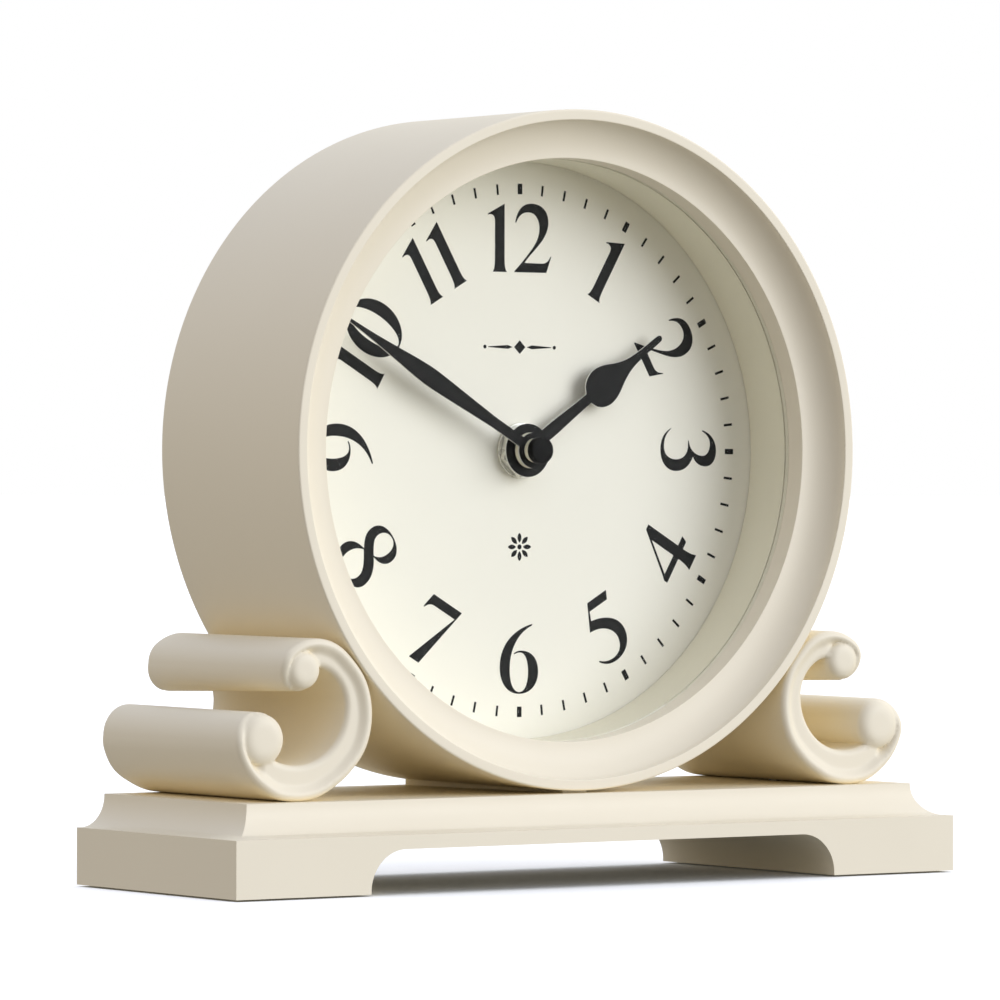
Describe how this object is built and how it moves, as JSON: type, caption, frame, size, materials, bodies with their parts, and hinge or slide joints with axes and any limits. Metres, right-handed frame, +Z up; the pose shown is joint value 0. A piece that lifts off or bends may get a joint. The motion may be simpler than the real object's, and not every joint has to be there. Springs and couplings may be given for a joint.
{
  "type": "mantel clock",
  "caption": "Mantel clock with a round drum case held between two scrolls on a stepped, arched plinth, a deep-set dial with Arabic numerals, spade hands and a quartz movement.",
  "frame": {"origin": "on the surface the clock stands on, under the middle of the plinth", "axes": "+X to the right as the dial is read, +Y from the dial towards the back, +Z up"},
  "size_m": [0.19, 0.064, 0.1679],
  "materials": {
    "cream": "satin cream paint on cast resin",
    "dial": "printed matt off-white",
    "hand": "matt black paint",
    "glass": "clear polished",
    "felt": "dark felt",
    "steel": "zinc plated",
    "nickel": "bright nickel plated",
    "brass": "turned",
    "board": "hardboard",
    "case": "fine grained black",
    "nylon": "natural acetal",
    "rubber": "soft black",
    "magnet": "sintered",
    "copper": "enamelled copper wire",
    "circuit": "solder-masked laminate",
    "cell": "sleeved steel can"
  },
  "bodies": {
    "clock": {"plinth": "cream", "pad_left_front": "felt", "pad_left_rear": "felt", "pad_right_front": "felt", "pad_right_rear": "felt", "drum_shell": "cream", "scroll_left": "cream", "scroll_right": "cream", "drum_screw_front": "steel", "drum_screw_rear": "steel", "scroll_screw_left": "steel", "scroll_screw_right": "steel", "lens": "glass", "spacer_ring": "cream", "dial_plate": "dial", "dial_board": "board", "retaining_ring": "steel", "rear_cover": "case", "cover_screw_1": "steel", "cover_screw_2": "steel", "cover_screw_3": "steel", "cover_screw_4": "steel", "movement_front": "case", "movement_rear": "case", "threaded_bush": "brass", "rubber_washer": "rubber", "flat_washer": "nickel", "hex_nut": "nickel", "train_bridge": "nylon", "stator": "steel", "coil_core": "steel", "coil_bobbin": "nylon", "coil_winding": "copper", "circuit_board": "circuit", "quartz_crystal": "nickel", "contact_positive": "nickel", "contact_negative": "nickel"},
    "minute": {"minute_arbor": "brass", "minute_hand": "hand", "minute_collet": "brass", "hand_cap": "hand"},
    "hour": {"hour_wheel": "nylon", "hour_hand": "hand", "hour_collet": "brass"},
    "minute_work": {"minute_work_wheel": "nylon"},
    "setting": {"setting_knob": "nylon"},
    "intermediate": {"intermediate_wheel": "nylon"},
    "rotor_body": {"rotor": "magnet"},
    "seconds": {"seconds_wheel": "nylon"},
    "third": {"third_wheel": "nylon"},
    "centre": {"centre_wheel": "brass"},
    "battery": {"battery_cell": "cell"}
  },
  "joints": [
    {"name": "minute_turn", "type": "hinge", "parent": "clock", "child": "minute", "pos_m": [0, 0, 0.0941], "axis": [0, 1, 0], "continuous": true},
    {"name": "hour_turn", "type": "hinge", "parent": "clock", "child": "hour", "pos_m": [0, 0, 0.0941], "axis": [0, 1, 0], "continuous": true},
    {"name": "minute_work_turn", "type": "hinge", "parent": "clock", "child": "minute_work", "pos_m": [-0.01128, 0, 0.0982], "axis": [0, 1, 0], "continuous": true},
    {"name": "setting_turn", "type": "hinge", "parent": "clock", "child": "setting", "pos_m": [-0.01728, 0, 0.10859], "axis": [0, 1, 0], "continuous": true},
    {"name": "intermediate_turn", "type": "hinge", "parent": "clock", "child": "intermediate", "pos_m": [-0.00406, 0, 0.1028], "axis": [0, 1, 0], "continuous": true},
    {"name": "rotor_turn", "type": "hinge", "parent": "clock", "child": "rotor_body", "pos_m": [0.00282, 0, 0.10762], "axis": [0, 1, 0], "continuous": true},
    {"name": "seconds_turn", "type": "hinge", "parent": "clock", "child": "seconds", "pos_m": [0, 0, 0.0941], "axis": [0, 1, 0], "continuous": true},
    {"name": "third_turn", "type": "hinge", "parent": "clock", "child": "third", "pos_m": [0.00882, 0, 0.10151], "axis": [0, 1, 0], "continuous": true},
    {"name": "centre_turn", "type": "hinge", "parent": "clock", "child": "centre", "pos_m": [0, 0, 0.0941], "axis": [0, 1, 0], "continuous": true},
    {"name": "battery_slide", "type": "slide", "parent": "clock", "child": "battery", "axis": [0, 1, 0], "range_m": [0, 0.045]}
  ],
  "couplings": [
    {"joint": "hour_turn", "follows": "minute_turn", "ratio": 0.083333},
    {"joint": "minute_work_turn", "follows": "minute_turn", "ratio": -0.33333},
    {"joint": "setting_turn", "follows": "minute_turn", "ratio": 1},
    {"joint": "rotor_turn", "follows": "intermediate_turn", "ratio": -6},
    {"joint": "seconds_turn", "follows": "intermediate_turn", "ratio": -0.2},
    {"joint": "third_turn", "follows": "intermediate_turn", "ratio": 0.026667},
    {"joint": "centre_turn", "follows": "intermediate_turn", "ratio": -0.0033333}
  ]
}
